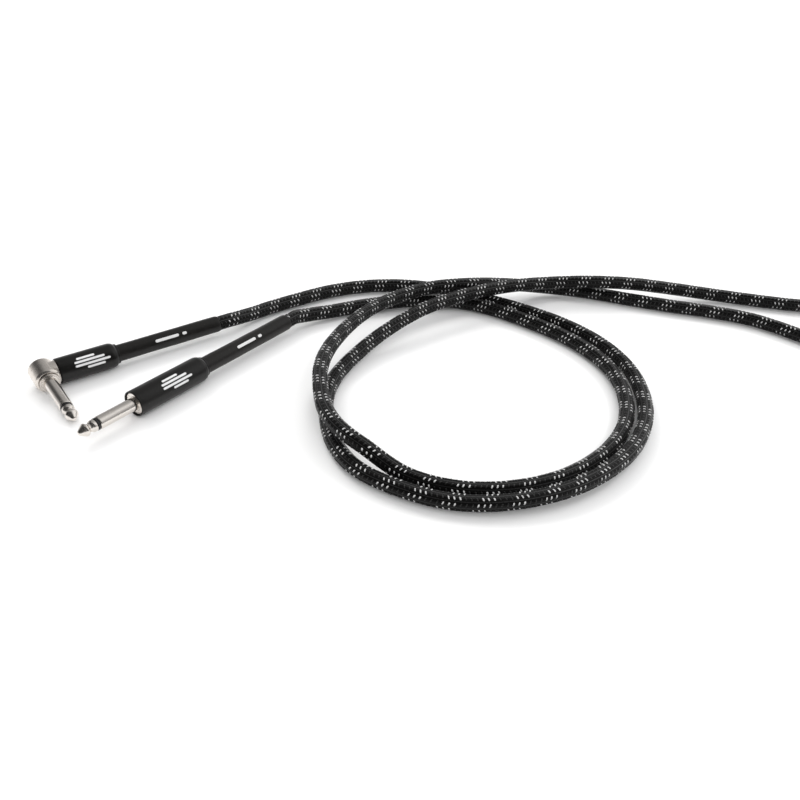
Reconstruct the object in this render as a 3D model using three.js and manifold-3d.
// Instrument cable: a woven-jacket guitar lead lying coiled on a floor, with a straight
// 6.35 mm mono plug on one end and a right-angle one on the other. Millimetres, +Z up.
// The origin is on the floor at the middle of the footprint; +Y points away from the viewer.
import * as THREE from 'three';
import { mergeVertices } from 'three/addons/utils/BufferGeometryUtils.js';
import Module from 'manifold-3d';

const wasm = await Module();
wasm.setup();

// ---- driving dimensions -------------------------------------------------------------
const GAP = 0.3; // clearance kept between neighbouring pieces

// cable, from the outside in
const CABLE_R = 4.0; // woven jacket
const BRAID_IN_R = 3.3;
const CORE_R = 3.0; // PVC jacket with the shield inside it
const SQUEEZED_BRAID_R = 3.55; // the weave where the boot grips it
const SQUEEZED_BRAID_IN_R = 3.1;
const JACKET_R = 2.8;
const DIELECTRIC_R = 1.3;
const WIRE_R = 0.45;

// boots and barrels
const BOOT_R = 4.35;
const BOOT_IN_R = 3.85;
const BARREL_R = 6.4;
const BARREL_WALL = 0.65;
const BARREL_HOLE_R = BOOT_R + GAP;
const BARREL_LIP = 1.2;
const THREAD_R = 4.8; // male thread on the plug body
const LINER_R = 5.45;
const LINER_IN_R = 4.95;
const STRAIGHT_BARREL = 42;
const BARREL_SHOULDER = 2.6; // the rounded stretch at a barrel's back end
const ANGLED_BARREL = 29;
const STRAIGHT_BOOT_END = 103.4; // from the plug's shoulder
const ANGLED_BOOT_END = 92.9; // from the elbow's centre
const BOOT_TAIL = 5; // cable standing out of a boot before its flex point

// 6.35 mm plug shaft, measured back from the shoulder
const SHAFT_R = 3.175;
const SHAFT_LENGTH = 30.5;
const SHAFT_BORE_R = 2.2;
const TIP_HEAD = 8.6; // length of the tip in front of its insulating ring
const RING_WIDTH = 1.0;
const ROD_R = 1.0;
const COLLAR_R = 5.4; // shoulder of the straight plug

// elbow of the right-angle plug
const ELBOW_DRUM_R = 6.4;
const ELBOW_NECK_R = 5.9;
const ELBOW_SHOULDER = 7.1; // from the barrel's axis to the shaft's shoulder
const FLANGE = 0.9; // thickness of the round flange at the shoulder
const FLANGE_R = 4.9;
const ELBOW_BACK = 6.2;
const ELBOW_FACE = 5.6; // flat face the barrel screws up to
const NECK_END = 11;
const ELBOW_DROOP = 6; // degrees: the shaft's tip rests on the floor

// places on the floor
const AXIS_HEIGHT = BARREL_R; // the barrels lie on the floor
const STRAIGHT_PLACE = { x: -118.8, y: -52.2, turn: 56.1 }; // its shoulder
const ANGLED_PLACE = { x: -168, y: -34, turn: 40.7 }; // its elbow's centre

// facets
const FINE = 24;
const COARSE = 16;
const TINY = 8;

// ---- materials ----------------------------------------------------------------------
function material(color, roughness, metalness) {
  return new THREE.MeshStandardMaterial({ color, roughness, metalness });
}

const LOOKS = {
  nickel: () => material(0xd9d4c8, 0.22, 1.0),
  castNickel: () => material(0xc9c4b8, 0.3, 1.0),
  steel: () => material(0xb9b9b6, 0.35, 1.0),
  copper: () => material(0xc77b4a, 0.35, 1.0),
  blackShell: () => material(0x1b1918, 0.38, 0.1),
  boot: () => material(0x1d1b1a, 0.5, 0.0),
  insulator: () => material(0x131313, 0.4, 0.0),
  liner: () => material(0x2b2b2d, 0.35, 0.0),
  braid: () => material(0x1c1c1e, 0.8, 0.0),
  pvc: () => material(0x232323, 0.6, 0.0),
  dielectric: () => material(0xe8e4da, 0.5, 0.0),
};

// ---- helpers ------------------------------------------------------------------------
const DEGREES = Math.PI / 180;

// A turned piece about the local X axis from [x, radius] points that end on the axis.
function turned(profile, facets) {
  const points = profile.map(([x, r]) => new THREE.Vector2(r, x));
  return new THREE.LatheGeometry(points, facets).rotateZ(-Math.PI / 2);
}

// A hollow turned piece: the outer outline runs front to back, the inner one too.
function turnedRing(outer, inner, facets) {
  const loop = [...outer, ...inner.slice().reverse(), outer[0]];
  return turned(loop, facets);
}

function solidOf(geometry) {
  const bare = geometry.clone();
  bare.deleteAttribute('normal');
  bare.deleteAttribute('uv');
  const merged = mergeVertices(bare, 1e-4);
  const mesh = new wasm.Mesh({
    numProp: 3,
    vertProperties: new Float32Array(merged.attributes.position.array),
    triVerts: new Uint32Array(merged.index.array),
  });
  return new wasm.Manifold(mesh);
}

function geometryOf(solid) {
  const mesh = solid.getMesh();
  const geometry = new THREE.BufferGeometry();
  geometry.setAttribute('position', new THREE.BufferAttribute(mesh.vertProperties, 3));
  geometry.setIndex(new THREE.BufferAttribute(mesh.triVerts, 1));
  geometry.computeVertexNormals();
  return geometry;
}

function joined(...geometries) {
  const solids = geometries.map(solidOf);
  return geometryOf(solids.reduce((whole, piece) => whole.add(piece)));
}

function without(geometry, ...cutters) {
  const start = solidOf(geometry);
  return geometryOf(cutters.reduce((rest, cutter) => rest.subtract(solidOf(cutter)), start));
}

function box(x0, x1, y0, y1, z0, z1) {
  const geometry = new THREE.BoxGeometry(x1 - x0, y1 - y0, z1 - z0);
  return geometry.translate((x0 + x1) / 2, (y0 + y1) / 2, (z0 + z1) / 2);
}

function rod(x0, x1, radius, facets) {
  return turned([[x0, 0], [x0, radius], [x1, radius], [x1, 0]], facets);
}

// A rounded or hollow strand swept along a curve.
function strand(curve, radius, holeRadius, steps, facets) {
  const outline = new THREE.Shape();
  const ringPoint = (r, i, sides) => {
    const angle = (i / sides) * 2 * Math.PI;
    return new THREE.Vector2(r * Math.cos(angle), r * Math.sin(angle));
  };
  outline.setFromPoints(Array.from({ length: facets }, (_, i) => ringPoint(radius, i, facets)));
  if (holeRadius > 0) {
    const hole = new THREE.Path();
    const sides = CORE_FACETS;
    hole.setFromPoints(Array.from({ length: sides }, (_, i) => ringPoint(holeRadius, i, sides)));
    outline.holes.push(hole);
  }
  return new THREE.ExtrudeGeometry(outline, { steps, bevelEnabled: false, extrudePath: curve });
}

function ball(centre, radius) {
  return new THREE.SphereGeometry(radius, COARSE - 4, TINY).translate(centre.x, centre.y, centre.z);
}

function named(name, geometry, look) {
  const mesh = new THREE.Mesh(geometry, look());
  mesh.name = name;
  return mesh;
}

// ---- plug pieces shared by both ends --------------------------------------------------
// All of them are drawn with the shaft on local X: x = 0 at the shoulder, the tip at -X.
function tipPiece(rodEnd) {
  const head = -SHAFT_LENGTH + TIP_HEAD;
  const end = -SHAFT_LENGTH;
  return turned([
    [end, 0], [end, 0.8], [end + 0.5, 1.3], [end + 3.2, 3.0], [end + 3.9, 3.15], [end + 4.4, 2.9],
    [end + 5.3, 2.15], [end + 6.0, 2.15], [end + 7.0, 2.95], [head, 2.95],
    [head, ROD_R], [rodEnd, ROD_R], [rodEnd, 0],
  ], FINE);
}

function tipRing(tubeEnd) {
  const front = -SHAFT_LENGTH + TIP_HEAD + GAP;
  const back = front + RING_WIDTH;
  const tubeR = SHAFT_BORE_R - GAP;
  const boreR = ROD_R + GAP;
  return turnedRing(
    [[front, 3.0], [back, 3.0], [back, tubeR], [tubeEnd, tubeR]],
    [[front, boreR], [tubeEnd, boreR]],
    COARSE,
  );
}

const SLEEVE_FRONT = -SHAFT_LENGTH + TIP_HEAD + 2 * GAP + RING_WIDTH;

function washer(x0, x1, outerR) {
  return turnedRing([[x0, outerR], [x1, outerR]], [[x0, ROD_R + GAP], [x1, ROD_R + GAP]], COARSE);
}

// Ground clamp: a ring behind the thread, an arm under the cable and fingers round it.
const CLAMP_ARM = { low: -4.2, high: -3.6, half: 1.8 };
const FINGERS = { inner: 3.15, outer: 3.8 };

function groundClamp(x, armEnd, fingerLength) {
  const plate = 0.6;
  const ring = turnedRing([[x, 4.6], [x + plate, 4.6]], [[x, 3.6], [x + plate, 3.6]], FINE);
  const arm = box(x, armEnd, -CLAMP_ARM.half, CLAMP_ARM.half, CLAMP_ARM.low, CLAMP_ARM.high);
  const from = armEnd - fingerLength;
  const hoop = turnedRing(
    [[from, FINGERS.outer], [armEnd, FINGERS.outer]],
    [[from, FINGERS.inner], [armEnd, FINGERS.inner]],
    COARSE,
  );
  const slot = box(from - 1, armEnd + 1, -1.6, 1.6, 0, 6);
  return joined(ring, arm, without(hoop, slot));
}

function barrel(x0, length, collarPocket) {
  const innerR = BARREL_R - BARREL_WALL;
  const threadR = THREAD_R + GAP;
  const back = x0 + length;
  const front = collarPocket > 0
    ? [[x0, innerR], [x0 + collarPocket, innerR], [x0 + collarPocket, threadR]]
    : [[x0, threadR]];
  const threadEnd = x0 + collarPocket + 5.1;
  return turnedRing(
    [
      [x0, BARREL_R - 0.25], [x0 + 0.3, BARREL_R], [back - BARREL_SHOULDER, BARREL_R],
      [back - 1.4, BARREL_R - 0.2], [back - 0.4, BARREL_R - 0.7], [back, BARREL_R - 1.1],
      [back + BARREL_LIP, BARREL_R - 1.2],
    ],
    [
      ...front, [threadEnd, threadR], [threadEnd, innerR], [back - 2.9, innerR],
      [back - 2.9, BARREL_HOLE_R], [back + BARREL_LIP, BARREL_HOLE_R],
    ],
    FINE,
  );
}

function liner(x0, x1) {
  return turnedRing([[x0, LINER_R], [x1, LINER_R]], [[x0, LINER_IN_R], [x1, LINER_IN_R]], FINE);
}

function boot(x0, x1) {
  return turnedRing(
    [[x0, BOOT_R - 0.15], [x0 + 0.5, BOOT_R], [x1 - 0.5, BOOT_R], [x1, BOOT_R - 0.2]],
    [[x0, BOOT_IN_R], [x1, BOOT_IN_R]],
    FINE,
  );
}

// The woven jacket inside a boot and its short tail, rounded to a ball at the flex point.
function braidEnd(x0, bootEnd) {
  const flex = bootEnd + BOOT_TAIL;
  const sleeve = turnedRing(
    [[x0, SQUEEZED_BRAID_R], [bootEnd, SQUEEZED_BRAID_R], [bootEnd + GAP, CABLE_R], [flex, CABLE_R]],
    [[x0, SQUEEZED_BRAID_IN_R], [flex, SQUEEZED_BRAID_IN_R]],
    COARSE,
  );
  return joined(sleeve, ball({ x: flex, y: 0, z: 0 }, CABLE_R));
}

function jacketEnd(x0, bootEnd) {
  const flex = bootEnd + BOOT_TAIL;
  const boreR = DIELECTRIC_R + GAP;
  const sleeve = turnedRing([[x0, JACKET_R], [flex, JACKET_R]], [[x0, boreR], [flex, boreR]], COARSE);
  return without(sleeve, ball({ x: flex, y: 0, z: 0 }, CABLE_R + GAP));
}

function dielectric(x0, bootEnd) {
  const boreDepth = 4;
  return turned([
    [x0 + boreDepth, 0], [x0 + boreDepth, 0.75], [x0, 0.75], [x0, DIELECTRIC_R],
    [bootEnd, DIELECTRIC_R], [bootEnd, 0],
  ], TINY);
}

function line(...points) {
  return new THREE.CatmullRomCurve3(points.map((p) => new THREE.Vector3(...p)), false, 'centripetal');
}

function shieldTail(jacketFront, armPlace) {
  const path = line(
    [jacketFront - GAP, 0, -2.15],
    [jacketFront - 2.5, 0, -2.6],
    [armPlace, 0, -2.8],
  );
  return strand(path, WIRE_R, 0, 4, 6);
}

function plugPoint(place, along) {
  const heading = place.turn * DEGREES;
  return new THREE.Vector3(
    place.x + along * Math.cos(heading),
    place.y + along * Math.sin(heading),
    AXIS_HEIGHT,
  );
}

// Lays a plug on the floor, rolled about its own axis and turned to its heading.
function laidDown(plug, place, roll) {
  plug.position.copy(plugPoint(place, 0));
  plug.rotation.set(roll * DEGREES, 0, place.turn * DEGREES, 'ZYX');
  return plug;
}

// ---- straight plug ------------------------------------------------------------------
function straightPlug() {
  const collarDepth = 2.2;
  const threadBack = 7.2;
  const seat = 4.6;
  const plug = new THREE.Group();
  const sleeve = turnedRing(
    [
      [SLEEVE_FRONT, SHAFT_R - 0.2], [SLEEVE_FRONT + 0.4, SHAFT_R], [0, SHAFT_R], [0, COLLAR_R],
      [collarDepth, COLLAR_R], [collarDepth, THREAD_R], [threadBack, THREAD_R],
    ],
    [[SLEEVE_FRONT, SHAFT_BORE_R], [seat, SHAFT_BORE_R], [seat, 3.6], [threadBack, 3.6]],
    FINE,
  );
  const washerBack = threadBack + 0.6;
  const lugBack = washerBack + GAP + 0.6;
  const lugRing = turnedRing(
    [[washerBack + GAP, 2.8], [lugBack, 2.8]],
    [[washerBack + GAP, ROD_R + GAP], [lugBack, ROD_R + GAP]],
    COARSE,
  );
  const tongue = box(washerBack + GAP, 16.5, -1.4, 1.4, 1.6, 2.2);
  const wirePath = line([23.5, 0, 0], [20.5, 0, 0], [17, 0, 0.4], [14, 0, 0.75], [10.6, 0, 0.75]);
  plug.add(
    named('straight_tip', tipPiece(9.4), LOOKS.nickel),
    named('straight_tip_ring', tipRing(seat), LOOKS.insulator),
    named('straight_shaft', sleeve, LOOKS.nickel),
    named('straight_rear_washer', washer(seat + GAP, washerBack, 3.3), LOOKS.insulator),
    named('straight_tip_lug', joined(lugRing, tongue), LOOKS.steel),
    named('straight_ground_clamp', groundClamp(threadBack + GAP, 32, 6), LOOKS.steel),
    named('straight_wire', strand(wirePath, WIRE_R, 0, 8, 6), LOOKS.copper),
    named('straight_dielectric', dielectric(20, STRAIGHT_BOOT_END), LOOKS.dielectric),
    named('straight_shield_tail', shieldTail(25, 18), LOOKS.copper),
    named('straight_jacket', jacketEnd(25, STRAIGHT_BOOT_END), LOOKS.pvc),
    named('straight_braid', braidEnd(33.5, STRAIGHT_BOOT_END), LOOKS.braid),
    named('straight_boot', boot(34.5, STRAIGHT_BOOT_END), LOOKS.boot),
    named('straight_liner', liner(8.5, 37.8), LOOKS.liner),
    named('straight_barrel', barrel(-0.6, STRAIGHT_BARREL, 3.1), LOOKS.blackShell),
  );
  return laidDown(plug, STRAIGHT_PLACE, 0);
}

// ---- right-angle plug -----------------------------------------------------------------
// The barrel lies on local X with the elbow's centre at 0; the shaft leaves along -Y.
function elbow() {
  const drumFront = -ELBOW_SHOULDER + FLANGE + GAP;
  const drum = turned([
    [drumFront, 0], [drumFront, ELBOW_DRUM_R], [ELBOW_BACK - 0.8, ELBOW_DRUM_R],
    [ELBOW_BACK, ELBOW_DRUM_R - 0.8], [ELBOW_BACK, 0],
  ], FINE).rotateZ(Math.PI / 2);
  const neck = turned([
    [0, 0], [0, ELBOW_NECK_R], [ELBOW_FACE, ELBOW_NECK_R], [ELBOW_FACE, THREAD_R],
    [NECK_END, THREAD_R], [NECK_END, 0],
  ], FINE);
  const beyondFace = box(ELBOW_FACE, 8, -8, 8, -8, 8);
  const throat = rod(-3, NECK_END + 0.5, 3.6, COARSE);
  const shaftSeat = rod(-7, 0, 3.8, COARSE).rotateZ(Math.PI / 2);
  const capSeat = rod(3, 7, 4.6, COARSE).rotateZ(Math.PI / 2);
  const well = rod(-1, 3.5, 3.4, COARSE).rotateZ(Math.PI / 2);
  return without(joined(without(drum, beyondFace), neck), throat, shaftSeat, capSeat, well);
}

function angledPlug() {
  const plug = new THREE.Group();
  const shaft = new THREE.Group();
  shaft.position.y = -ELBOW_SHOULDER;
  shaft.rotation.z = Math.PI / 2;
  const sleeve = turnedRing(
    [
      [SLEEVE_FRONT, SHAFT_R - 0.2], [SLEEVE_FRONT + 0.4, SHAFT_R], [0, SHAFT_R], [0, FLANGE_R - 0.15],
      [0.15, FLANGE_R], [FLANGE, FLANGE_R], [FLANGE, 3.5], [4.6, 3.5],
    ],
    [[SLEEVE_FRONT, SHAFT_BORE_R], [2.8, SHAFT_BORE_R], [2.8, 2.9], [4.6, 2.9]],
    FINE,
  );
  shaft.add(
    named('angled_tip', tipPiece(7.2), LOOKS.nickel),
    named('angled_tip_ring', tipRing(2.8), LOOKS.insulator),
    named('angled_shaft', sleeve, LOOKS.nickel),
    named('angled_rear_washer', washer(3.1, 5.1, 2.6), LOOKS.insulator),
  );
  const lugFront = -ELBOW_SHOULDER + 5.4;
  const lugRing = turnedRing(
    [[lugFront, 2.4], [lugFront + 0.6, 2.4]],
    [[lugFront, ROD_R + GAP], [lugFront + 0.6, ROD_R + GAP]],
    COARSE,
  ).rotateZ(Math.PI / 2);
  const tongue = box(1.8, 14.5, lugFront, lugFront + 0.6, -1.3, 1.3);
  const cap = turned([[3.5, 0], [3.5, 4.3], [ELBOW_BACK - 0.4, 4.3], [ELBOW_BACK, 3.9], [ELBOW_BACK, 0]], FINE);
  const wirePath = line([20.5, 0, 0], [15, -0.2, 0], [10.5, -0.35, 0]);
  plug.add(
    shaft,
    named('angled_elbow', elbow(), LOOKS.castNickel),
    named('angled_back_cap', cap.rotateZ(Math.PI / 2), LOOKS.castNickel),
    named('angled_tip_lug', joined(lugRing, tongue), LOOKS.steel),
    named('angled_ground_clamp', groundClamp(NECK_END + GAP, 25.5, 5), LOOKS.steel),
    named('angled_wire', strand(wirePath, WIRE_R, 0, 3, 6), LOOKS.copper),
    named('angled_dielectric', dielectric(17, ANGLED_BOOT_END), LOOKS.dielectric),
    named('angled_shield_tail', shieldTail(20.5, 15.5), LOOKS.copper),
    named('angled_jacket', jacketEnd(20.5, ANGLED_BOOT_END), LOOKS.pvc),
    named('angled_braid', braidEnd(27.5, ANGLED_BOOT_END), LOOKS.braid),
    named('angled_boot', boot(28.5, ANGLED_BOOT_END), LOOKS.boot),
    named('angled_liner', liner(12.2, 31.6), LOOKS.liner),
    named('angled_barrel', barrel(ELBOW_FACE + GAP, ANGLED_BARREL, 0), LOOKS.blackShell),
  );
  return laidDown(plug, ANGLED_PLACE, ELBOW_DROOP);
}

// ---- where the cable lies -------------------------------------------------------------
// Rounded waypoints of the centre line; z is CABLE_R on the floor and higher at crossings.
const FLOOR = CABLE_R;

const flexPlug = {
  angled: plugPoint(ANGLED_PLACE, ANGLED_BOOT_END + BOOT_TAIL),
  straight: plugPoint(STRAIGHT_PLACE, STRAIGHT_BOOT_END + BOOT_TAIL),
};

const FLEX_LOOP = {
  angled: new THREE.Vector3(-42.5, 77.5, FLOOR),
  straight: new THREE.Vector3(-38, 53, 4.3),
};
const ANGLED_LEAD = [
  [-83, 42.2, 4.7], [-73.5, 52.8, FLOOR], [-58, 65.9, FLOOR],
];
const STRAIGHT_LEAD = [
  [-49, 46.2, 5.2],
];

// the strand from the right-angle plug runs round the outside of the coil
const OUTER_START = [
  [-24.5, 86.5, FLOOR], [-5, 91.5, FLOOR], [14, 92, FLOOR], [33.5, 88, FLOOR], [54, 80.5, FLOOR],
];
// the fourth number is how far inside it the second strand lies
const OUTER_COIL = [
  [76.5, 70, FLOOR, 10.2], [98.5, 55.5, FLOOR, 11.4], [115.5, 37, FLOOR, 11.4], [126, 14.5, FLOOR, 10.6],
  [128.5, -11.5, FLOOR, 9.4], [123.5, -38.5, 4.9, 8.8], [109, -65.5, 5.7, 8.8], [84.5, -88, 5.7, 8.8],
  [56, -100, 4.8, 8.8], [30, -102, FLOOR, 8.8], [7, -95.8, FLOOR, 9.6],
];
const OUTER_RETURN = [
  [-12, -84.6, FLOOR], [-22.8, -69.3, FLOOR], [-28.8, -49.8, FLOOR], [-30.9, -30.9, FLOOR],
  [-27.4, -10.2, FLOOR], [-14.5, 14.5, 6.9], [-3, 29.5, 9.7], [9, 42.3, 12],
  [18.3, 51.4, 12.8], [41.6, 68.9, 13.6], [66, 82.6, 13.5], [91.6, 93.5, 12.2],
  [117, 97, 13.1], [143, 101.5, 11.6], [170, 106.5, 7.8], [196.3, 108.6, 4.7],
];
// out to the far bend, where the two strands are the same cable
const FAR_BEND = [
  [222, 106, FLOOR], [250, 103, FLOOR], [280, 103.5, FLOOR], [309, 97, FLOOR],
  [330, 79.5, FLOOR], [335, 55, FLOOR], [324, 33, FLOOR], [302, 23.5, FLOOR],
  [279, 28.5, FLOOR], [258, 45, FLOOR], [237, 64, FLOOR], [213.8, 79.6, FLOOR],
];
const INNER_RETURN = [
  [190.2, 86.2, FLOOR], [166.6, 90.1, FLOOR], [142.9, 94.9, FLOOR], [118.8, 100.5, FLOOR],
  [93.4, 101.6, 4.9], [67.2, 92.5, 9.7], [42.1, 82.2, 13.2], [18.1, 74, 13.1],
  [2, 62.2, 13], [-12, 47, 13], [-22.5, 29.5, 13], [-30, 10.5, 13],
  [-34.2, -6.5, 13], [-35.2, -23, 13], [-32.9, -39.9, 13], [-28.7, -55.6, 12.9],
  [-21, -67.8, 12.3], [-9, -78, 10.8],
];
const INNER_END = [[52, 71.5, FLOOR], [33.5, 76, FLOOR], [15, 75, FLOOR], [-5, 69.5, FLOOR], [-22.5, 62, FLOOR]];

// The same way round, one cable further in.
function insideOf(points) {
  return points.map(([x, y, , distance], i) => {
    const [x0, y0] = points[Math.max(i - 1, 0)];
    const [x1, y1] = points[Math.min(i + 1, points.length - 1)];
    const run = Math.hypot(x1 - x0, y1 - y0);
    return [x + ((y1 - y0) / run) * distance, y - ((x1 - x0) / run) * distance, FLOOR];
  });
}

// A lead leaves its plug along the plug's own axis.
function leadPath(loopEnd, waypoints, place, flexAt) {
  const straightOn = 2;
  return line(
    loopEnd.toArray(), ...waypoints.slice().reverse(),
    plugPoint(place, flexAt + straightOn).toArray(), plugPoint(place, flexAt).toArray(),
  );
}

const outerCoil = OUTER_COIL.map(([x, y, z]) => [x, y, z]);
const innerCoil = insideOf(OUTER_COIL).reverse();

const loopPath = line(
  FLEX_LOOP.angled.toArray(), ...OUTER_START, ...outerCoil, ...OUTER_RETURN, ...FAR_BEND,
  ...INNER_RETURN, ...innerCoil, ...INNER_END, FLEX_LOOP.straight.toArray(),
);
const angledLeadPath = leadPath(FLEX_LOOP.angled, ANGLED_LEAD, ANGLED_PLACE, ANGLED_BOOT_END + BOOT_TAIL);
const straightLeadPath = leadPath(
  FLEX_LOOP.straight, STRAIGHT_LEAD, STRAIGHT_PLACE, STRAIGHT_BOOT_END + BOOT_TAIL,
);

// ---- cable pieces ---------------------------------------------------------------------
const LOOP_STEPS = 112;
const LEAD_STEPS = 8;
const BRAID_FACETS = 8;
const CORE_FACETS = 6;

function sockets(geometry, ...centres) {
  return without(geometry, ...centres.map((centre) => ball(centre, CABLE_R + GAP)));
}

// A lead ends in a ball where it leaves the coil and in a socket behind its plug.
function leadBraid(path, loopEnd, plugEnd) {
  const sleeve = strand(path, CABLE_R, BRAID_IN_R, LEAD_STEPS, BRAID_FACETS);
  return sockets(joined(sleeve, ball(loopEnd, CABLE_R)), plugEnd);
}

function leadCore(path, loopEnd, plugEnd) {
  return sockets(strand(path, CORE_R, 0, LEAD_STEPS, CORE_FACETS), loopEnd, plugEnd);
}

function cable() {
  const pieces = new THREE.Group();
  const loopBraid = strand(loopPath, CABLE_R, BRAID_IN_R, LOOP_STEPS, BRAID_FACETS);
  const loopCore = strand(loopPath, CORE_R, 0, LOOP_STEPS, CORE_FACETS);
  pieces.add(
    named('loop_braid', sockets(loopBraid, FLEX_LOOP.angled, FLEX_LOOP.straight), LOOKS.braid),
    named('loop_core', sockets(loopCore, FLEX_LOOP.angled, FLEX_LOOP.straight), LOOKS.pvc),
    named('angled_lead_braid', leadBraid(angledLeadPath, FLEX_LOOP.angled, flexPlug.angled), LOOKS.braid),
    named('angled_lead_core', leadCore(angledLeadPath, FLEX_LOOP.angled, flexPlug.angled), LOOKS.pvc),
    named('straight_lead_braid', leadBraid(straightLeadPath, FLEX_LOOP.straight, flexPlug.straight), LOOKS.braid),
    named('straight_lead_core', leadCore(straightLeadPath, FLEX_LOOP.straight, flexPlug.straight), LOOKS.pvc),
  );
  return pieces;
}

// Everything is moved so that the origin is on the floor at the middle of the footprint.
function onFootprintCentre(...groups) {
  const whole = new THREE.Group();
  whole.add(...groups);
  whole.updateMatrixWorld(true);
  const footprint = new THREE.Box3().setFromObject(whole, true);
  const centre = footprint.getCenter(new THREE.Vector3());
  whole.position.set(-centre.x, -centre.y, -footprint.min.z);
  whole.updateMatrixWorld(true);
  return whole;
}

const instrumentCable = onFootprintCentre(straightPlug(), angledPlug(), cable());

export default instrumentCable;
